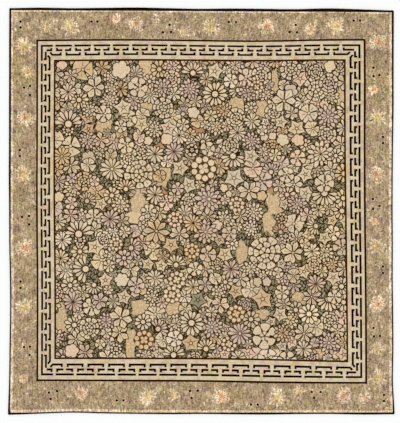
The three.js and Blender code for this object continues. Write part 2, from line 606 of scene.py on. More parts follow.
def rimmed(drawing, at, reach, spokes, line, wool):
    """A plain form of wool, given as spokes, with a dark line all round it."""
    outer = [(angle, length + LINE_WIDTH) for angle, length in spokes]
    drawing.area(spoked(at, outer), line, height=LINE_HEIGHT)
    drawing.area(spoked(at, spokes), wool, at, reach)


STAR_POINTS = 5
# The rib towards each point, as (along the reach, half its width in lines).
STAR_RIB = ((0.2, -0.32), (0.62, -0.2), (0.62, 0.2), (0.2, 0.32))


def star(drawing, at, reach, wool):
    """A plain star with a ring at its heart and a rib towards each point."""
    turn = rng.uniform(0, math.tau)
    body = []
    for k in range(STAR_POINTS):
        middle = turn + math.tau * (k + rng.uniform(-0.05, 0.05)) / STAR_POINTS
        far = reach * rng.uniform(0.9, 1.08)
        body.append((middle - math.pi / STAR_POINTS, 0.6 * reach))
        body.append((middle - 0.6 / STAR_POINTS, 0.8 * far))
        body.append((middle, far))
        body.append((middle + 0.6 / STAR_POINTS, 0.8 * far))
    line = rng.choice(LINES)
    rimmed(drawing, at, reach, body, line, wool)
    for k in range(STAR_POINTS):
        direction = cmath.rect(1, turn + math.tau * k / STAR_POINTS)
        rib = [at + direction * complex(along * reach, LINE_WIDTH * half) for along, half in STAR_RIB]
        drawing.area(rib, line, height=LINE_HEIGHT)
    eyed(drawing, at, 0.14 * reach, LINE_WIDTH * 0.7, line, wool, 8)


def pansy(drawing, at, reach, wool):
    """Four or five broad lobes that meet in a small heart."""
    lobes = 4 if rng.random() < 0.3 else 5
    petal_ring(drawing, at, reach, wool, lobes, LOBED, foot=0.12, uneven=0.14)
    eyed(drawing, at, 0.15 * reach, LINE_WIDTH * 0.6, "line", wool)


FULL_PEONY = 85 * MM
SMALL_PEONY = 60 * MM


def peony(drawing, at, reach, wool):
    """One or two rings of rounded petals, one within the other, round a close heart."""
    turn = rng.uniform(0, math.tau)
    petals = 9 if reach > FULL_PEONY else 7
    for ring, foot in ((1.0, 0.6), (0.62, 0.5)):
        petal_ring(drawing, at, ring * reach, wool, petals, LOBED, turn, foot)
        petals -= 2
        turn += math.pi / petals
        if ring * reach < SMALL_PEONY:
            break
    petal_ring(drawing, at, 0.34 * reach, wool, 5, ROUNDED, turn, 0.2)


LARGE_CELLS = 60 * MM
CELLS_RIM_POINTS = 16
OUTER_BUD = 0.27
SMALLEST_BUD = 3.2 * MM
# Each ring of buds lies this many buds further in, of buds this much smaller, and is turned.
RING_STEP = 1.75
RING_SHRINK = 0.78
RING_TURN = 0.5


def cells(drawing, at, reach, wool):
    """Rings of round buds, the outer ones the largest, pressed together round a small heart."""
    rim = [at + cmath.rect(reach * (1.02 + 0.05 * (-1) ** k), math.tau * k / CELLS_RIM_POINTS)
           for k in range(CELLS_RIM_POINTS)]
    drawing.area(rim, "line" if reach < LARGE_CELLS else "brown line", height=LINE_HEIGHT)
    turn = rng.uniform(0, math.tau)
    bud = OUTER_BUD * reach
    orbit = reach - bud
    while orbit > bud * 0.8:
        count = max(4, round(math.pi * orbit / bud * 1.02))
        radius = max(bud * 0.98 - LINE_WIDTH * 0.4, SMALLEST_BUD)
        for k in range(count):
            centre = at + cmath.rect(orbit, turn + math.tau * k / count)
            disc(drawing, centre, radius * rng.uniform(0.94, 1.1), wool, 7)
        orbit -= bud * RING_STEP
        bud *= RING_SHRINK
        turn += RING_TURN
    disc(drawing, at, 0.7 * bud, wool, 6)


# One lobe of the scalloped rim, as (part of the lobe's turn, share of its reach).
SCALLOP = ((0, 0.76), (0.2, 0.94), (0.5, 1.02), (0.8, 0.94))


def blossom(drawing, at, reach, wool):
    """A plain flower with a scalloped rim and no inner lines."""
    lobes = rng.choice((4, 5, 5, 6))
    turn = rng.uniform(0, math.tau)
    rim = []
    for lobe in range(lobes):
        size = reach * rng.uniform(0.9, 1.08)
        rim += [(turn + math.tau * (lobe + part) / lobes, size * share) for part, share in SCALLOP]
    rimmed(drawing, at, reach, rim, rng.choice(LINES), wool)


WORN_SIDES = 11
WORN_RAGGED = (0.62, 1.28)


def worn(drawing, at, reach, wool, tall):
    """A bare patch with a ragged rim, where the pile has worn down and lost its drawing."""
    rim = []
    for k in range(WORN_SIDES):
        length = reach * rng.uniform(*WORN_RAGGED)
        spoke = cmath.rect(length, math.tau * (k + rng.uniform(-0.3, 0.3)) / WORN_SIDES)
        rim.append(at + complex(spoke.real, spoke.imag * tall))
    drawing.area(rim, wool, height=WORN_HEIGHT)


# One side of a broad leaf, as (along, across) in parts of its length.
LEAF_SIDE = ((0.22, 0.17), (0.55, 0.27), (0.85, 0.16))
LEAF_RIB = 0.18 * LINE_WIDTH


def broad_leaf(drawing, foot, tip, wool):
    """A broad leaf in two halves with a dark rib between them, inside its own outline."""
    length = abs(tip - foot)
    axis = (tip - foot) / length
    rim = [foot] + [foot + axis * complex(along, -across) * length for along, across in LEAF_SIDE]
    rim += [tip] + [foot + axis * complex(along, across) * length for along, across in reversed(LEAF_SIDE)]
    drawing.area(grown(rim, LINE_WIDTH * 0.8), "line", height=LINE_HEIGHT)
    rib = LEAF_RIB / length
    for way in (-1, 1):
        half = [foot + axis * complex(0.02, way * rib) * length]
        half += [foot + axis * complex(along, way * across) * length for along, across in LEAF_SIDE]
        half += [foot + axis * complex(0.98, way * rib) * length]
        drawing.area(half, wool, spread=0.1)


# Where each flower sits: the column and the row of its heart, counted in squares of the drawing
# from the photograph's upper left corner, and its reach in squares. One square is one pixel.
# The carpet's own middle is at SHEET_MIDDLE.
SQUARE = PIXEL
SHEET_MIDDLE = (201.3, 211.15)
DAISIES = (
    (90, 109, 8, "cream"), (120.6, 89, 8, "brown"), (162.5, 88, 9, "purple"), (190, 89, 10, "lilac"),
    (247, 93, 8, "purple"), (252, 121, 8, "cream"), (328, 116.5, 11, "lilac"), (87.5, 140, 9, "lilac"),
    (155, 154, 9, "cream"), (174, 151.5, 9, "purple"), (209, 199, 14, "purple"), (155, 195, 9, "cream"),
    (251.6, 141.5, 9, "lilac"), (297, 204, 9, "purple"), (110, 219, 9, "purple"), (124.5, 232, 6, "cream"),
    (205.5, 232, 12, "lilac"), (193, 223, 9, "orange"), (231, 269, 9, "purple"), (155, 278, 8, "cream"),
    (251, 228, 8, "white"), (251, 269, 8, "cream"), (316, 284, 9, "purple"), (73, 302, 10, "purple"),
    (152, 298, 8, "cream"), (212, 327, 11, "lilac"), (240, 333.5, 11, "purple"), (283, 333, 9, "brown"),
    (329, 343, 11, "purple"), (303.5, 349, 8, "cream"), (219, 292, 7, "cream"), (112, 169, 12, "cream"),
    (320.6, 154, 13, "cream"), (68, 92, 8, "pink"), (112, 88, 7, "cream"),
)
SUNFLOWERS = (
    (215, 94, 12, "cream"), (191.5, 323, 12, "cream"), (309, 314, 10, "white"), (124, 258, 8, "lilac"),
)
FANS = (
    (68.4, 124, 14, "cream", 90), (78.6, 234, 14, "cream", 90), (131, 248, 10, "lilac", 0),
    (158, 329, 10, "lilac", 45), (173.6, 355, 11, "cream", 90), (183, 114, 8, "lilac", 90),
    (193, 73, 11, "pink", 90), (176, 265, 10, "cream", 90), (206, 349, 10, "straw", 90),
    (233, 156, 12, "cream", -90), (324.5, 193, 13, "cream", -90), (328.4, 299, 12, "cream", -90),
    (87, 201, 9, "grey", 60), (85.6, 269, 13, "cream", 180), (271, 172, 9, "lilac", 90),
    (280.5, 232, 8, "brown", 90), (125.8, 189, 9, "pink", 90), (203, 142, 9, "cream", 80),
    (316, 226, 9, "cream", 200), (238, 90, 9, "cream", 150), (94, 285, 9, "cream", 250),
)
STARS = (
    (123.4, 107.4, 9, "cream"), (88.5, 129, 7, "tan"), (141.5, 124.6, 8, "straw"), (168, 128, 8, "pink"),
    (214.8, 71, 9, "cream"), (281, 122, 7, "cream"), (101, 204, 7, "cream"), (180, 168, 9, "cream"),
    (234, 178, 11, "cream"), (251, 156, 9, "cream"), (305.4, 174.4, 8, "cream"), (95, 247, 9, "straw"),
    (105.4, 280, 8, "pink"), (148, 264, 7, "cream"), (171, 245, 9, "orange"), (225, 254.6, 9, "cream"),
    (161, 265.5, 7, "straw"), (332.4, 220.5, 6, "straw"), (324.5, 238, 7, "cream"), (124, 297, 8, "cream"),
    (206, 301.6, 7, "cream"), (235.5, 291.4, 8, "tan"), (190.8, 343, 10, "tan"), (262.7, 299, 11, "tan"),
    (280, 314.6, 8, "cream"), (282, 346, 6, "cream"), (197.8, 300, 9, "sage"), (88, 118, 7, "tan"),
)
LILIES = (
    (94.7, 87.3, 11, "cream"), (73, 88, 9, "cream"), (284, 101, 12, "cream"), (249, 191, 11, "cream"),
    (156.4, 231, 13, "orange"), (293, 252.7, 11, "cream"), (120.7, 318, 11, "cream"),
    (99.6, 301, 8, "lilac"), (304, 333.6, 10, "cream"), (70.8, 75.5, 7, "pink"),
)
PLUMS = (
    (138, 87, 10, "cream"), (230.8, 80.6, 7, "white"), (125.8, 145, 8, "cream"), (94.5, 181, 5, "pink"),
    (71, 203, 6, "cream"), (178, 188.5, 6, "lilac"), (208, 149, 7, "cream"), (275, 155, 6, "straw"),
    (298, 158, 8, "pink"), (286.4, 175, 8, "cream"), (324.5, 183, 9, "cream"), (229, 233.6, 7, "lilac"),
    (208, 254, 8, "lilac"), (195, 269, 7, "cream"), (304.8, 243.5, 5, "cream"), (91.4, 306.7, 9, "cream"),
    (175, 338.6, 8, "white"), (264.7, 336, 12, "cream"), (282, 292, 7, "cream"), (337.6, 331, 7, "cream"),
    (334.4, 297, 7, "cream"), (100, 344, 5, "cream"), (109, 266, 6, "cream"), (136, 285, 8, "lilac"),
    (278, 272.7, 5, "cream"), (262.4, 130, 5, "cream"), (183, 124.6, 6, "cream"), (120.5, 126, 6, "cream"),
    (273.4, 103, 6, "cream"),
)
PANSIES = (
    (309, 113, 9, "cream"), (82.8, 69.6, 9, "tan"), (312.8, 128.4, 7, "straw"), (293.6, 275.7, 6, "grey"),
    (139, 136, 6, "pink"), (88, 165, 7, "cream"), (160, 176, 6, "tan"),
)
PEONIES = (
    (315.7, 89, 12, "cream"), (290.8, 69.6, 10, "cream"), (139, 174, 14, "cream"),
    (264.7, 252.7, 16, "cream"),
    (89.4, 328.4, 10, "cream"), (148, 225, 10, "cream"), (236, 118, 9, "cream"), (171.6, 79, 8, "pink"),
    (261.5, 75.8, 9, "cream"), (328.6, 83, 9, "lilac"), (231, 145.8, 8, "cream"), (314, 265, 8, "pink"),
    (163.5, 108, 10, "cream"), (315.7, 72, 7, "cream"), (192, 150, 6, "cream"), (244.4, 304.8, 7, "lilac"),
)
CELLS = (
    (203.6, 168.7, 13, "cream"), (256.7, 87, 7, "cream"), (68, 130, 6, "pink"), (118, 183, 6, "cream"),
    (116, 244, 7, "cream"), (80, 240, 6, "cream"), (192, 251, 8, "orange"), (176.8, 280, 9, "cream"),
    (175, 219.6, 8, "pink"), (236.7, 204.4, 8, "cream"), (285.7, 236, 6, "cream"), (172, 294.6, 9, "cream"),
    (144, 340, 10, "tan"), (116, 349, 6, "cream"), (229, 344, 8, "cream"), (236, 313.7, 9, "orange"),
    (281.8, 218.5, 6, "brown"),
)
BLOSSOMS = (
    (62, 65, 5, "pink"), (120.5, 69.6, 9, "cream"), (330, 66, 6, "straw"), (193.6, 112.6, 6, "cream"),
    (88, 158.5, 7, "grey"), (166.6, 138.7, 6, "pink"), (282.8, 140, 6, "cream"), (298, 140, 6, "pink"),
    (122, 280, 7, "cream"), (72, 350.7, 7, "pink"), (264.5, 137, 4, "pink"), (272.5, 136, 4, "pink"),
    (139.5, 141, 4.5, "pink"), (148, 140.6, 4.5, "pink"), (135, 293, 4.5, "lilac"), (143, 290.7, 4, "tan"),
    (257.5, 282, 4.5, "grey"), (266.7, 282, 4.5, "lilac"), (224, 188, 4, "cream"), (229, 194, 3, "cream"),
    (217, 225, 5, "cream"), (58.8, 197, 5, "straw"), (290.8, 91, 7, "lilac"), (262, 196, 5, "tan"),
)
# Worn patches also have a height, in parts of their width. A tall one, more than so many times as
# high as it is wide, keeps small flowers off at both of its ends too.
WORN_PATCHES = (
    (146, 68.6, 10, "tan", 0.9), (144.4, 104.5, 8, "tan", 1.0), (104, 124.6, 9, "tan", 0.8),
    (235.6, 105.5, 9, "tan", 1.1), (262, 110, 9, "tan", 1.0), (275, 80, 4, "tan", 3.6),
    (340.5, 96, 4, "tan", 2.6), (163, 176, 9, "tan", 1.4), (138, 203, 9, "tan", 1.7),
    (274, 205, 9, "tan", 1.6), (268, 222, 7, "tan", 1.9), (131.5, 218, 13, "orange", 0.5),
    (242, 252, 6, "tan", 2.6), (139.8, 307, 12, "tan", 0.8), (61, 320, 6, "tan", 2.4),
    (171, 310.5, 11, "tan", 0.8), (131, 342, 6, "tan", 2.8), (261, 314.6, 9, "tan", 0.8),
    (299.5, 297, 7, "tan", 1.0), (258, 353, 22, "pink", 0.28), (319, 354, 9, "tan", 0.5),
    (336, 356, 6, "rose", 0.6), (199, 129, 5, "rust", 1.3), (215, 110, 5, "rust", 0.8),
    (159.6, 146, 4, "rust", 0.8), (163, 193, 4, "rust", 0.8), (271, 190, 4, "rust", 0.8),
)
TALL_PATCH = 1.2
TALL_PATCH_END = 0.8
FLOWER_GROWTH = 1.02
# Small flowers are tried all over the field, each a little smaller than the last, in squares. One
# is kept where it overlaps no flower and no bare patch by more than these shares of both reaches.
FILLER_TRIES = 6500
FILLER_LARGEST = 9.5
FILLER_SHRINK = 5
FLOWER_CLEARANCE = (0.48, 0.84)
BARE_CLEARANCE = (0.6, 0.72)
SMALL_FILLER = 6.4
# Sprays of six leaves stand in staggered rows. Sizes and places are in squares.
SPRAY_PITCH = 18.0
SPRAY_STRAY = 0.3
SPRAY_LEAF = (5, 8)
SPRAY_STEP = 3.6
SPRAY_STEM = 0.5
SPRAY_LEAN = 0.9
SPRAY_TAPER = 0.08
# The dark line inside the fret border.
LINE_INSIDE = 16 * MM


def on_plan(column, row):
    """The point of the plan under one place of the drawing."""
    return plan_of(complex(column - SHEET_MIDDLE[0], SHEET_MIDDLE[1] - row) * SQUARE)


flowers = []
for kind, table in ((peony, PEONIES), (cells, CELLS), (fan, FANS), (blossom, BLOSSOMS),
                    (pansy, PANSIES), (star, STARS), (plum, PLUMS), (lily, LILIES), (daisy, DAISIES),
                    (sunflower, SUNFLOWERS)):
    for column, row, reach, wool, *more in table:
        flowers.append((kind, on_plan(column, row), reach * FLOWER_GROWTH * SQUARE, wool, more))

patches = []
for column, row, reach, wool, tall in WORN_PATCHES:
    patches.append((on_plan(column, row), reach * SQUARE, wool, tall))

filler_kinds = (daisy, star, plum, daisy, lily, pansy, peony, daisy, lily, lily, sunflower, daisy)
small_kinds = (daisy, lily, star, daisy, pansy)
field_width, field_length = FIELD_LINE_HALF
placed = [(at, reach) for _, at, reach, _, _ in flowers]
bare = [(at, reach * min(1, tall)) for at, reach, _, tall in patches]
bare += [(at + side * (tall - 1) * reach * TALL_PATCH_END * 1j, reach)
         for at, reach, _, tall in patches if tall > TALL_PATCH for side in (-1, 1)]


def clear_of(at, reach, others, clearance):
    """Whether a flower keeps its clearance from all the others."""
    own, theirs = clearance
    return all(abs(at - other) > own * reach + theirs * other_reach for other, other_reach in others)


fillers = []
for attempt in range(FILLER_TRIES):
    at = complex(rng.uniform(-field_width, field_width), rng.uniform(-field_length, field_length))
    reach = SQUARE * (FILLER_LARGEST - FILLER_SHRINK * attempt / FILLER_TRIES)
    if clear_of(at, reach, placed, FLOWER_CLEARANCE) and clear_of(at, reach, bare, BARE_CLEARANCE):
        kind = rng.choice(filler_kinds if reach > SMALL_FILLER * SQUARE else small_kinds)
        fillers.append((kind, at, reach, rng.choice(PETAL_WOOLS), []))
        placed.append((at, reach))

field = Drawing(rectangle(field_width, field_length), "ground")
field.to_come = placed
columns = math.ceil(field_width / SQUARE / SPRAY_PITCH)
rows = math.ceil(field_length / SQUARE / SPRAY_PITCH)
for row in range(-rows, rows + 1):
    for column in range(-columns, columns + 1):
        stray = complex(rng.uniform(-SPRAY_STRAY, SPRAY_STRAY), rng.uniform(-SPRAY_STRAY, SPRAY_STRAY))
        stem = (complex(column + 0.5 * (row % 2), row) + stray) * (SPRAY_PITCH * SQUARE)
        direction = cmath.rect(1, rng.uniform(0, math.tau))
        wool = rng.choice(LEAF_WOOLS)
        length = rng.uniform(*SPRAY_LEAF) * SQUARE
        for step in (-1, 0, 1):
            for side in (-1, 1):
                foot = stem + direction * complex(step * SPRAY_STEP * SQUARE, side * SPRAY_STEM * SQUARE)
                leaf_length = length * (1 - SPRAY_TAPER * abs(step))
                tip = foot + direction * cmath.rect(leaf_length, side * SPRAY_LEAN)
                middle = (foot + tip) / 2
                if abs(middle.real) < field_width and abs(middle.imag) < field_length:
                    broad_leaf(field, foot, tip, wool)

for at, reach, wool, tall in patches:
    worn(field, at, reach, wool, tall)
# A fan leaves half its circle open, so it hides nothing while it is still to come.
field.to_come = [(at, 0 if kind is fan else reach) for kind, at, reach, _, _ in flowers]
for kind, at, reach, wool, more in fillers:
    kind(field, at, reach, wool)
for kind, at, reach, wool, more in flowers:
    field.to_come.pop(0)
    if kind is fan:
        fan(field, at, reach, wool, math.radians(more[0]))
    else:
        kind(field, at, reach, wool)


def framed(drawing, half_width, half_length, width, wool="line", height=LINE_HEIGHT):
    """A line all round a rectangle, in four lengths that overlap at the corners."""
    for start, end in sides_of(half_width, half_length):
        overlap = (end - start) / abs(end - start) * width / 2
        path = straight_line(start - overlap, end + overlap)
        drawing.area(stroke(path + [end + overlap], width), wool, height=height, spread=0)


framed(field, field_width - LINE_INSIDE / 2, field_length - LINE_INSIDE / 2, LINE_INSIDE)

# What the light has done to whole zones of the wool, as changes of its red, green and blue.
YELLOWED = (1.02, 1.0, 0.86)
BLUSHED = (0.98, 0.93, 0.98)
KNOT = 3 * MM
KNOT_CONTRAST = 0.16
PILE_RELIEF = 0.9 * MM
PILE_ROUGHNESS = 0.96


def pile_material(name, streaks, mottle):
    """Cut wool pile: the dyed knots, the fading of whole zones, and the wear between them."""
    material, shader, place = new_material(name, PILE_ROUGHNESS)
    dye = place.node("ShaderNodeAttribute", {"attribute_name": "dye"}, None, "Color")
    knots = place.stretched(1 / KNOT, 1 / KNOT, 0)
    knot_cell = knots.node("ShaderNodeVectorMath", {"operation": 'FLOOR'}, {0: knots})
    knot_tone = knot_cell.node("ShaderNodeTexWhiteNoise", None, {"Vector": knot_cell}, "Value")
    zones = place.noise(1.3, 3, 0.55)
    warm = place.noise(2.1, 3, 0.6)
    grain = place.noise(75, 3, 0.6)
    streak = place.stretched(70, 16).noise(1.0, 3, 0.65)
    colour = dye.dyed(YELLOWED, zones.between(0.5, 0.72), 'MULTIPLY')
    colour = colour.dyed(BLUSHED, warm.between(0.52, 0.74), 'MULTIPLY')
    tone = 1 + (knot_tone - 0.5) * KNOT_CONTRAST + (grain - 0.5) * mottle + (streak - 0.5) * streaks
    colour = colour.dyed(tone.grey(), 1.0, 'MULTIPLY')
    height = knot_tone * 0.5 + place.noise(420, 2, 0.6) * 0.8 + grain * 0.6
    finish_surface(material, shader, colour, height, PILE_RELIEF)
    return material, shader


# Lines of the drawing that bend less than this are straight. A margin all round the carpet keeps
# its baked colours inside the chart, and a strip at the chart's right takes walls and underside.
STRAIGHT = math.radians(2)
PLAN_MARGIN = 12 * MM
CHART_SIZE = 2 * HALF_LENGTH + 2 * PLAN_MARGIN
STRIP_START = 0.965
STRIP_WIDTH = 0.03
SAME_POINT = 1e-6


def shade_smooth(piece, angle=math.radians(40)):
    bpy.ops.object.select_all(action='DESELECT')
    piece.select_set(True)
    bpy.context.view_layer.objects.active = piece
    bpy.ops.object.shade_smooth_by_angle(angle=angle)


def knot_pile(name, drawing, material):
    """Knots a drawing into pile: one closed piece, lower along its dark lines, dyed area by area."""
    plan = [Vector((point.real, point.imag)) for point in drawing.points]
    found = delaunay_2d_cdt(plan, [], drawing.loops, 1, SAME_POINT, True)
    corners, triangles, area_lists = found[0], found[2], found[5]
    used = sorted({k for triangle in triangles for k in triangle})
    drawn = bmesh.new()
    area_layer = drawn.faces.layers.int.new("area")
    made = {k: drawn.verts.new((*corners[k], 0)) for k in used}
    for triangle, areas in zip(triangles, area_lists):
        if 0 in areas and not (drawing.has_hole and 1 in areas):
            drawn.faces.new([made[k] for k in triangle])[area_layer] = max(areas)
    bmesh.ops.delete(drawn, geom=[v for v in drawn.verts if not v.link_faces], context='VERTS')
    # What later areas have hidden is taken out: only the lines between visible areas stay.
    for edge in drawn.edges:
        edge.seam = len({face[area_layer] for face in edge.link_faces}) > 1
    drawn.normal_update()
    bmesh.ops.dissolve_limit(drawn, angle_limit=STRAIGHT, use_dissolve_boundaries=False, verts=[],
                             edges=drawn.edges, delimit={'SEAM'})
    straight = [vert for vert in drawn.verts if len(vert.link_edges) == 2 and not vert.is_boundary
                and vert.calc_edge_angle() < STRAIGHT]
    bmesh.ops.dissolve_verts(drawn, verts=straight)
    bmesh.ops.triangulate(drawn, faces=drawn.faces)
    drawn.verts.index_update()
    top = np.array([[vert.index for vert in face.verts] for face in drawn.faces])
    area_of = np.array([face[area_layer] for face in drawn.faces])
    plan_points = np.array([complex(vert.co.x, vert.co.y) for vert in drawn.verts])
    drawn.free()

    heights = np.full(len(plan_points), PILE_TOP)
    np.minimum.at(heights, top.ravel(), np.repeat(np.array(drawing.heights)[area_of], 3))

    edges = {(int(triangle[k]), int(triangle[k - 2])) for triangle in top for k in range(3)}
    onward = {start: end for start, end in edges if (end, start) not in edges}
    # The rims of the top are walked round, and the same plan closes the piece underneath.
    rims = []
    waiting = dict(onward)
    while waiting:
        start = next(iter(waiting))
        rim = []
        while start in waiting:
            rim.append(start)
            start = waiting.pop(start)
        rims.append(rim)
    rim_points = [point for rim in rims for point in rim]
    below = {point: len(plan_points) + k for k, point in enumerate(rim_points)}
    rim_plan = [Vector((plan_points[k].real, plan_points[k].imag)) for k in rim_points]
    starts = np.cumsum([0] + [len(rim) for rim in rims])
    rim_loops = [list(range(starts[k], starts[k + 1])) for k in range(len(rims))]
    found = delaunay_2d_cdt(rim_plan, [], rim_loops, 1, SAME_POINT, True)
    underside = [[below[rim_points[found[3][k][0]]] for k in reversed(triangle)]
                 for triangle, loops in zip(found[2], found[5]) if len(loops) == 1]
    walls = [(end, start, below[start], below[end]) for start, end in onward.items()]

    carpet_points = laid(plan_points)
    points = [(p.real, p.imag, z) for p, z in zip(carpet_points, heights)]
    points += [(carpet_points[k].real, carpet_points[k].imag, PILE_FOOT) for k in rim_points]
    piece = new_piece(name, points, top.tolist() + underside + walls, material)

    tips = np.array(drawing.tips)[area_of].repeat(3, axis=0)
    hearts = np.array(drawing.hearts)[area_of].repeat(3, axis=0)
    middles = np.array(drawing.middles, dtype=complex)[area_of].repeat(3)
    reaches = np.array(drawing.reaches)[area_of].repeat(3)
    spot = plan_points[top.ravel()]
    nearness = np.clip(abs(spot - middles) / reaches, 0, 1)[:, None]
    dyes = np.ones((len(piece.data.loops), 4))
    dyes[:, :3] = drawing.tips[0]
    dyes[:len(spot), :3] = hearts + (tips - hearts) * nearness
    dyes[:len(spot), 3] = np.array(drawing.kinds)[area_of].repeat(3)
    dye = piece.data.attributes.new("dye", 'FLOAT_COLOR', 'CORNER')
    dye.data.foreach_set("color", dyes.ravel().astype(np.float32))

    corner_point = np.array([points[loop.vertex_index] for loop in piece.data.loops])
    chart = (corner_point[:, :2] + (HALF_WIDTH + PLAN_MARGIN, HALF_LENGTH + PLAN_MARGIN)) / CHART_SIZE
    chart[len(spot):, 0] = STRIP_START + STRIP_WIDTH * chart[len(spot):, 0]
    piece.data.uv_layers.new(name="OFBake").data.foreach_set("uv", chart.ravel().astype(np.float32))
    shade_smooth(piece)
    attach(piece, "root")
    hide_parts("carpet_body")
    return piece


# The ground between the flowers: small outlined leaves, which lie another way in each clump.
CLUMP = 95 * MM
LEAF_LENGTH = 52 * MM
LEAF_WIDTH = 21 * MM
LEAF_TINTS = (linear(142, 137, 108), linear(176, 166, 134))
LEAF_LINE = linear(54, 38, 16)
LEAF_LINE_EDGE = (0.23, 0.11)
# How much of the lost drawing still shows in a worn patch.
GHOST = 0.2
GHOST_EDGE = (0.16, 0.05)


def wool_so_far(material, shader):
    """The colour that a pile's wool has so far, and its object coordinates."""
    colour = Flow(material.node_tree, shader.inputs["Base Color"].links[0].from_socket)
    return colour, colour.node("ShaderNodeTexCoord", None, None, "Object")


def leafy(material, shader):
    """Fills the ground's wool with small outlined leaves, and mottles the worn patches."""
    colour, place = wool_so_far(material, shader)
    kind = place.node("ShaderNodeAttribute", {"attribute_name": "dye"}, None, "Alpha")
    flat = {"voronoi_dimensions": '2D', "feature": 'F1'}
    clump = place.node("ShaderNodeTexVoronoi", flat, {"Vector": place, "Scale": 1 / CLUMP}, "Color")
    turn = clump.node("ShaderNodeSeparateColor", None, {0: clump}, 0)
    turned = place.node("ShaderNodeVectorRotate", {"rotation_type": 'Z_AXIS'},
                        {"Vector": place, "Angle": turn * math.tau})
    leaves = turned.stretched(1 / LEAF_LENGTH, 1 / LEAF_WIDTH, 0)
    rims = {"voronoi_dimensions": '2D', "feature": 'DISTANCE_TO_EDGE'}
    edge = leaves.node("ShaderNodeTexVoronoi", rims, {"Vector": leaves, "Scale": 1.0}, "Distance")
    tint = leaves.node("ShaderNodeTexVoronoi", flat, {"Vector": leaves, "Scale": 1.0}, "Color")
    tint = tint.node("ShaderNodeSeparateColor", None, {0: tint}, 1)
    leaf_wool = colour.dyed(LEAF_TINTS[0], 1.0).dyed(LEAF_TINTS[1], tint).dyed(colour, 0.35)
    leaf_wool = leaf_wool.dyed(LEAF_LINE, edge.between(*LEAF_LINE_EDGE))
    colour = colour.dyed(leaf_wool, kind.maths('LESS_THAN', kind, 0.25))
    bare = kind.maths('COMPARE', kind, WORN, 0.2)
    rows = place.stretched(48, 84).noise(1.0, 3, 0.7)
    colour = colour.dyed((0.15 + rows * 1.65).grey(), bare, 'MULTIPLY')
    colour = colour.dyed(LEAF_LINE, bare * edge.between(*GHOST_EDGE) * GHOST)
    material.node_tree.links.new(colour.socket, shader.inputs["Base Color"])


field_wool, field_shader = pile_material("field_wool", 0.3, 0.7)
leafy(field_wool, field_shader)
field_pile = knot_pile("field_pile", field, field_wool)

# The fret border: a pale band between two dark lines, with three rows of dark dashes that hook
# into one another all the way round and turn the corners on a mitre.
OUTER_LINE_WIDTH = 17 * MM
FRET_WIDTH = 18.5 * MM
FRET_GAP = 23 * MM
HOOK_GAP = 34 * MM
FRET_ROWS = (0.311, 0.534, 0.758)
FRET_TICK = 0.52
FRET_STEP = 60 * MM
# Each side's first and last gap, in millimetres from its middle, and how many dashes lie between.
FRET_SIDES = {
    "far": (-1319, 1277, 15),
    "near": (-1319, 1286, 14),
    "left": (-1297, 1335, 14),
    "right": (-1342, 1353, 14),
}
WOOLS["pale"] = ((216, 200, 168), (216, 200, 168))
WOOLS["ink"] = ((30, 14, 8), (30, 14, 8))
WOOLS["brown ink"] = ((40, 20, 4), (40, 20, 4))

outer_width, outer_length = OUTER_LINE_HALF
fret = Drawing(rectangle(outer_width, outer_length), "pale", rectangle(field_width, field_length))
framed(fret, outer_width - OUTER_LINE_WIDTH / 2, outer_length - OUTER_LINE_WIDTH / 2, OUTER_LINE_WIDTH,
       "brown ink")


def on_band(side, along, depth):
    """A point of the fret band, its depth counted in parts from the outer line to the field."""
    x_half = outer_width + (field_width - outer_width) * depth
    y_half = outer_length + (field_length - outer_length) * depth
    return {"far": complex(along, y_half), "near": complex(along, -y_half),
            "left": complex(-x_half, along), "right": complex(x_half, along)}[side]


def dash(side, *places):
    """A dark dash of the fret through places given as (along, depth)."""
    path = [on_band(side, along, depth) for along, depth in places]
    fine = [point for start, end in zip(path, path[1:]) for point in straight_line(start, end, FRET_STEP)]
    fret.area(stroke(fine + [path[-1]], FRET_WIDTH), "ink", height=LINE_HEIGHT, spread=0.1)


row_1, row_2, row_3 = FRET_ROWS
up = (row_2 - row_1) * FRET_TICK
up_inner = (row_3 - row_2) * FRET_TICK
half = FRET_GAP / 2
lean = (HOOK_GAP + FRET_WIDTH) / 2
for side, (first, last, dashes) in FRET_SIDES.items():
    first *= MM
    pitch = (last * MM - first) / dashes
    for k in range(dashes + 1):
        gap = first + pitch * k
        middle = gap + pitch / 2
        hook = gap + pitch - lean
        if k < dashes:
            dash(side, (gap + half, row_1), (gap + pitch - half, row_1))
            dash(side, (gap + lean, row_2 - up), (gap + lean, row_2), (middle - half, row_2))
            dash(side, (middle + half, row_2), (hook, row_2), (hook, row_2 - up))
        if 0 < k < dashes:
            left = middle - pitch + lean
            right = middle - lean
            dash(side, (left, row_3 - up_inner), (left, row_3), (right, row_3), (right, row_3 - up_inner))

# At each corner the outermost row turns. The middle row starts short of it, and the innermost
# one ends in a slanting hook that points along the mitre.
MIDDLE_ROW_SHORT = {"near": 44 * MM, "far": 44 * MM, "left": 56 * MM, "right": 56 * MM}
INNER_ROW_SHORT = {"near": 26 * MM, "far": 26 * MM, "left": 28 * MM, "right": 28 * MM}
MITRE_SLANT = 22 * MM


def last_gap(side, way):
    """The gap of the outermost row that is nearest to one of a side's corners."""
    return FRET_SIDES[side][0 if way < 0 else 1] * MM


def end_middle_row(side, way, row_ends):
    gap = last_gap(side, way)
    start = way * row_ends[0] - way * MIDDLE_ROW_SHORT[side]
    dash(side, (start, row_2), (gap + way * lean, row_2), (gap + way * lean, row_2 - up))


def end_inner_row(side, way, row_ends):
    first, last, dashes = FRET_SIDES[side]
    hook = way * (row_ends[2] - INNER_ROW_SHORT[side])
    end = last_gap(side, way) - way * ((last - first) * MM / dashes / 2 - lean)
    dash(side, (hook + way * MITRE_SLANT, row_3 - up_inner), (hook, row_3), (end, row_3),
         (end, row_3 - up_inner))


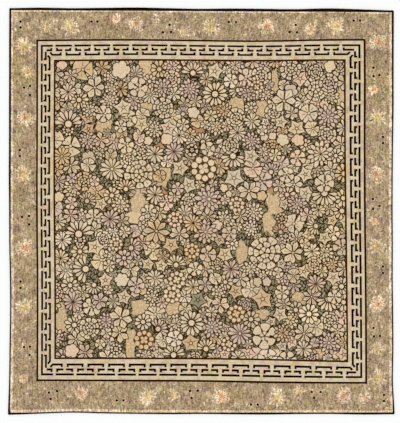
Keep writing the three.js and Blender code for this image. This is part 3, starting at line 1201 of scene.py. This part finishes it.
x_rows = [abs(on_band("right", 0, depth)) for depth in FRET_ROWS]
y_rows = [abs(on_band("far", 0, depth)) for depth in FRET_ROWS]
for x_side, x_way in (("left", -1), ("right", 1)):
    for y_side, y_way in (("near", -1), ("far", 1)):
        corner = complex(x_way * x_rows[0], y_way * y_rows[0])
        x_end = last_gap(y_side, x_way) + x_way * half
        y_end = last_gap(x_side, y_way) + y_way * half
        bend = straight_line(complex(x_end, corner.imag), corner, FRET_STEP)
        bend += straight_line(corner, complex(corner.real, y_end), FRET_STEP)
        bend.append(complex(corner.real, y_end))
        fret.area(stroke(bend, FRET_WIDTH), "ink", height=LINE_HEIGHT)
        for end_row in (end_middle_row, end_inner_row):
            end_row(y_side, x_way, x_rows)
            end_row(x_side, y_way, y_rows)


# The pale wool turns by stretches to straw, lilac and pink, as it was spun. Each is a shade, how
# many stretches there are to a metre, and how far its pattern is shifted from the others'.
VARIEGATION = (((206, 190, 140), 12, 0), ((198, 176, 158), 17, 3), ((214, 186, 156), 10, 7))
VARIED_AMOUNT = 0.8


def varied(material, shader, wool, shades, amount, detail, roughness, threshold):
    """Turns a pile's wool from its own shade to others where their noises pass the threshold."""
    colour, place = wool_so_far(material, shader)
    for shade, scale, shift in shades:
        moved = place.node("ShaderNodeVectorMath", {"operation": 'ADD'}, {0: place, 1: (shift, shift, 0)})
        tint = [tone / linear(*WOOLS[wool][0])[k] for k, tone in enumerate(linear(*shade))]
        where = moved.noise(scale, detail, roughness).between(*threshold)
        colour = colour.dyed(tint, where * amount, 'MULTIPLY')
    material.node_tree.links.new(colour.socket, shader.inputs["Base Color"])


fret_wool, fret_shader = pile_material("fret_wool", 0.25, 0.4)
varied(fret_wool, fret_shader, "pale", VARIEGATION, VARIED_AMOUNT, 3, 0.6, (0.48, 0.62))
fret_pile = knot_pile("fret_border_pile", fret, fret_wool)

# The outer border: a taupe ground, streaked where one dye lot of wool gave out and the next
# began, with soft flowers, leaves and groups of dark berries strewn along it. A narrow cream
# stripe runs round it inside the edging, and a few dark knots beside that.
STRIPE_WIDTH = 23 * MM
DARK_ROW = 4.5 * MM
# The ground is clouded with olive, plum and cream, given like the fret's varied wool.
HAZES = (((150, 134, 96), 9, 0), ((148, 122, 104), 8, 5), ((200, 178, 146), 11, 11))
HAZE_AMOUNT = 0.7
WOOLS.update({
    "taupe": ((172, 148, 116), (172, 148, 116)),
    "stripe": ((222, 198, 166), (222, 198, 166)),
    "petal": ((224, 200, 164), (208, 178, 140)),
    "gold": ((212, 184, 134), (198, 166, 110)),
    "peach": ((220, 178, 140), (206, 154, 114)),
    "salmon": ((216, 168, 130), (204, 146, 106)),
    "ember": ((206, 150, 108), (194, 130, 90)),
    "haze": ((158, 140, 104), (158, 140, 104)),
    "plum haze": ((160, 134, 112), (160, 134, 112)),
    "pale haze": ((190, 166, 132), (190, 166, 132)),
    "dark haze": ((126, 104, 76), (126, 104, 76)),
    "berry": ((24, 12, 6), (24, 12, 6)),
    "husk": ((196, 172, 138), (196, 172, 138)),
    "sprig": ((204, 182, 144), (204, 182, 144)),
})
BORDER_DAISIES = (
    (70.5, 26.5, 9.5), (24.9, 46.4, 10), (211, 27, 9), (336, 25.7, 9), (23, 174, 9), (377.8, 117.5, 8.5),
    (377, 246.5, 8.5), (24.9, 307, 9), (377.8, 377, 9), (148, 396, 8.5), (276, 398, 9), (45.6, 27.4, 6.5),
    (28, 72, 6.5), (184.5, 31, 6), (310.6, 30, 6.5), (173, 395, 6.5), (299, 392.6, 7), (377, 349.5, 7),
)
BORDER_PEONIES = (
    (136, 24, 8, "peach"), (116, 19, 5, "peach"), (267, 26, 8, "salmon"), (378.6, 42, 8.5, "salmon"),
    (24.9, 118, 8, "peach"), (24.9, 248, 8.5, "salmon"), (377, 175, 8, "peach"), (377.8, 304.5, 8, "peach"),
    (81, 393, 7.5, "peach"), (221, 396, 8, "peach"), (344, 396, 8.5, "salmon"), (373.6, 89.6, 5, "peach"),
    (374.5, 222, 5, "peach"), (24, 378, 5, "peach"), (364, 397, 6, "peach"),
)
BERRY_PAIRS = (
    (20.5, 21.6, 20.5, 27.4), (91.6, 21.5, 97.4, 21.5), (228.8, 22, 236, 22), (353.6, 20.5, 360, 20.5),
    (19.8, 150, 19.8, 156), (20.5, 281.5, 20.5, 288), (383, 137, 383, 143), (383, 266.5, 383, 273),
    (384, 395, 384, 401), (116.7, 400.4, 123.4, 400.4), (251, 404.6, 257.7, 404.6),
)
BERRY_TRIPLES = (
    (24, 87.5, 30, 86, 30, 95), (169.6, 24.7, 163, 32.3, 171, 32), (295.7, 25, 289.5, 32, 297, 32.3),
    (373.5, 67.6, 379.5, 75, 373.5, 76), (22, 217, 29, 216, 29, 224.5), (373, 199, 379.6, 206, 373, 209),
    (24, 347, 30, 346.6, 29.6, 355), (373.6, 328, 380, 336, 374, 336.4), (49, 392.6, 57, 391, 50.6, 399),
    (190, 391, 197.6, 390.7, 191.6, 398), (311.7, 392, 320.6, 392, 314, 398),
)
BORDER_SPRIGS = (
    (250, 20), (370, 21), (384, 25), (386, 31), (370, 155), (385, 158), (373.6, 283), (386, 290),
    (102, 402.6), (237, 406), (362, 389), (360, 402), (17, 400), (29, 402), (17, 18), (32, 60),
    (20, 132), (31, 190), (18, 262), (32, 322), (54, 20), (158, 20), (196, 22), (322, 20), (134, 402),
)
# Half-worn leaves are strewn all over the ground, and small ones stand close in each sprig.
HAZE_LEAVES = 5200
HAZE_LEAF = (20, 48)
HAZE_LEAF_HALF = (4, 8)
FRET_OVERLAP = 10 * MM
SPRIG_LEAVES = 12
SPRIG_SIZE = 4
SPRIG_LEAF = (14, 26)
SPRIG_LEAF_HALF = 3.5 * MM
BERRY = 1.4
HUSK = 2.0
UNEVEN = 0.2
HAZE_WOOLS = ("haze", "plum haze", "haze", "pale haze", "dark haze", "petal", "sprig")


def leaf(drawing, foot, tip, half_width, wool):
    """One small pointed leaf, widest a little before its middle."""
    length = abs(tip - foot)
    axis = (tip - foot) / length
    outline = [foot, foot + axis * complex(0.45 * length, -half_width), tip,
               foot + axis * complex(0.45 * length, half_width)]
    drawing.area(outline, wool, spread=0.14)


border_rim = rectangle(BODY_HALF_WIDTH, BODY_HALF_LENGTH)
border = Drawing(border_rim, "taupe", rectangle(outer_width, outer_length))
haze_rng = random.Random(77)
for _ in range(HAZE_LEAVES):
    foot = complex(haze_rng.uniform(-BODY_HALF_WIDTH, BODY_HALF_WIDTH),
                   haze_rng.uniform(-BODY_HALF_LENGTH, BODY_HALF_LENGTH))
    tip = foot + cmath.rect(haze_rng.uniform(*HAZE_LEAF) * MM, haze_rng.uniform(0, math.tau))
    in_width = abs(foot.real) < outer_width - FRET_OVERLAP
    if not (in_width and abs(foot.imag) < outer_length - FRET_OVERLAP):
        leaf(border, foot, tip, haze_rng.uniform(*HAZE_LEAF_HALF) * MM, haze_rng.choice(HAZE_WOOLS))
for column, row in BORDER_SPRIGS:
    for _ in range(SPRIG_LEAVES):
        foot = on_plan(column, row)
        foot += cmath.rect(haze_rng.uniform(0, SPRIG_SIZE) * SQUARE, haze_rng.uniform(0, math.tau))
        tip = foot + cmath.rect(haze_rng.uniform(*SPRIG_LEAF) * MM, haze_rng.uniform(0, math.tau))
        leaf(border, foot, tip, SPRIG_LEAF_HALF, "sprig")
for column, row, reach, wool in BORDER_PEONIES:
    at = on_plan(column, row)
    disc(border, at, reach * 0.8 * SQUARE, wool, 14)
    petal_ring(border, at, reach * SQUARE, "petal", 9, LOBED, foot=0.56, line=None, uneven=UNEVEN)
    petal_ring(border, at, reach * 0.62 * SQUARE, "petal", 6, LOBED, foot=0.5, line=None, uneven=UNEVEN)
    disc(border, at, reach * 0.26 * SQUARE, "ember", 9)
for column, row, reach in BORDER_DAISIES:
    at = on_plan(column, row)
    disc(border, at, reach * 0.56 * SQUARE, "gold", 12)
    petal_ring(border, at, reach * SQUARE, "petal", 15, foot=0.3, line=None, uneven=1.2 * UNEVEN)
    petal_ring(border, at, reach * 0.6 * SQUARE, "gold", 9, line=None, uneven=1.2 * UNEVEN)
for group in BERRY_PAIRS + BERRY_TRIPLES:
    for column, row in zip(group[::2], group[1::2]):
        at = on_plan(column, row)
        disc(border, at, HUSK * SQUARE, "husk")
        disc(border, at, BERRY * SQUARE, "berry")
framed(border, BODY_HALF_WIDTH - STRIPE_WIDTH / 2, BODY_HALF_LENGTH - STRIPE_WIDTH / 2, STRIPE_WIDTH,
       "stripe", PETAL_HEIGHT)
framed(border, BODY_HALF_WIDTH - DARK_ROW / 2, BODY_HALF_LENGTH - DARK_ROW / 2, DARK_ROW, "brown ink")

border_wool, border_shader = pile_material("border_wool", 2.3, 2.8)
varied(border_wool, border_shader, "taupe", HAZES, HAZE_AMOUNT, 4, 0.65, (0.44, 0.66))
border_pile = knot_pile("outer_border_pile", border, border_wool)

# The edging: dark brown wool yarn wound closely over the rim, in one length along each side,
# which takes the rounded corners, and one across each end between them.
EDGING_HEIGHT = 11 * MM
YARN_PITCH = 6 * MM
YARN_RIDGE = 0.5 * MM
RINGS_A_TURN = 4
SECTION_SIDES = 12
CORNER_RADIUS = 9 * MM
# The tube is squarer than an ellipse: its sides and its top are raised to these powers.
SIDE_POWER = 0.6
TOP_POWER = 0.7
WOUND_WOOL = linear(24, 16, 8)
WOUND_WOOL_LIGHT = linear(58, 42, 20)
YARN_FUZZ = 0.4 * MM

edging_wool, edging_shader, place = new_material("edging_wool", MATT)
fade = place.noise(9, 3, 0.6)
wound = plain_wool(place.tree, WOUND_WOOL).dyed(WOUND_WOOL_LIGHT, fade.between(0.42, 0.72) * 0.5)
finish_surface(edging_wool, edging_shader, wound, place.noise(900, 2, 0.6), YARN_FUZZ)


def wind_edging(name, along_y, inner, outer, reach, rounded):
    """Winds one length: a flattened tube round the rim, ridged by each turn of the yarn."""
    rings = round(2 * reach / YARN_PITCH * RINGS_A_TURN)
    heights = []
    plan = []
    for ring in range(rings + 1):
        along = reach * (2 * ring / rings - 1)
        inset = 0
        short = CORNER_RADIUS - (reach - abs(along))
        if rounded and short > 0:
            inset = CORNER_RADIUS - math.sqrt(max(CORNER_RADIUS ** 2 - short ** 2, 0))
        rim = outer - math.copysign(inset, outer)
        middle = (inner + rim) / 2
        half = abs(rim - inner) / 2
        for side in range(SECTION_SIDES):
            angle = math.tau * side / SECTION_SIDES
            turn = ring / RINGS_A_TURN + side / SECTION_SIDES
            squeeze = YARN_RIDGE * (1 - abs(math.sin(math.pi * turn)))
            across = math.copysign(abs(math.cos(angle)) ** SIDE_POWER, math.cos(angle)) * (half - squeeze)
            up = math.copysign(abs(math.sin(angle)) ** TOP_POWER, math.sin(angle))
            on_floor = up < -0.9
            heights.append(EDGING_HEIGHT / 2 + up * (EDGING_HEIGHT / 2 - (0 if on_floor else squeeze)))
            plan.append(complex(middle + across, along) if along_y else complex(along, middle + across))
    points = [(p.real, p.imag, z) for p, z in zip(laid(plan), heights)]
    faces = []
    for ring in range(rings):
        for side in range(SECTION_SIDES):
            a = ring * SECTION_SIDES + side
            b = ring * SECTION_SIDES + (side + 1) % SECTION_SIDES
            faces.append((a, b, b + SECTION_SIDES, a + SECTION_SIDES))
    faces.append(tuple(reversed(range(SECTION_SIDES))))
    faces.append(tuple(range(rings * SECTION_SIDES, (rings + 1) * SECTION_SIDES)))
    piece = new_piece(name + "_yarn", points, faces, edging_wool)
    bpy.ops.object.select_all(action='DESELECT')
    piece.select_set(True)
    bpy.context.view_layer.objects.active = piece
    bpy.ops.object.mode_set(mode='EDIT')
    bpy.ops.mesh.select_all(action='SELECT')
    bpy.ops.mesh.normals_make_consistent(inside=False)
    bpy.ops.object.mode_set(mode='OBJECT')
    shade_smooth(piece, math.radians(70))
    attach(piece, "root")
    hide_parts(name)
    return piece


end_reach = HALF_WIDTH - EDGING_WIDTH - SEAM
edgings = [
    wind_edging("edging_left", True, EDGING_WIDTH - HALF_WIDTH, -HALF_WIDTH, HALF_LENGTH, True),
    wind_edging("edging_right", True, HALF_WIDTH - EDGING_WIDTH, HALF_WIDTH, HALF_LENGTH, True),
    wind_edging("edging_near", False, EDGING_WIDTH - HALF_LENGTH, -HALF_LENGTH, end_reach, False),
    wind_edging("edging_far", False, HALF_LENGTH - EDGING_WIDTH, HALF_LENGTH, end_reach, False),
]
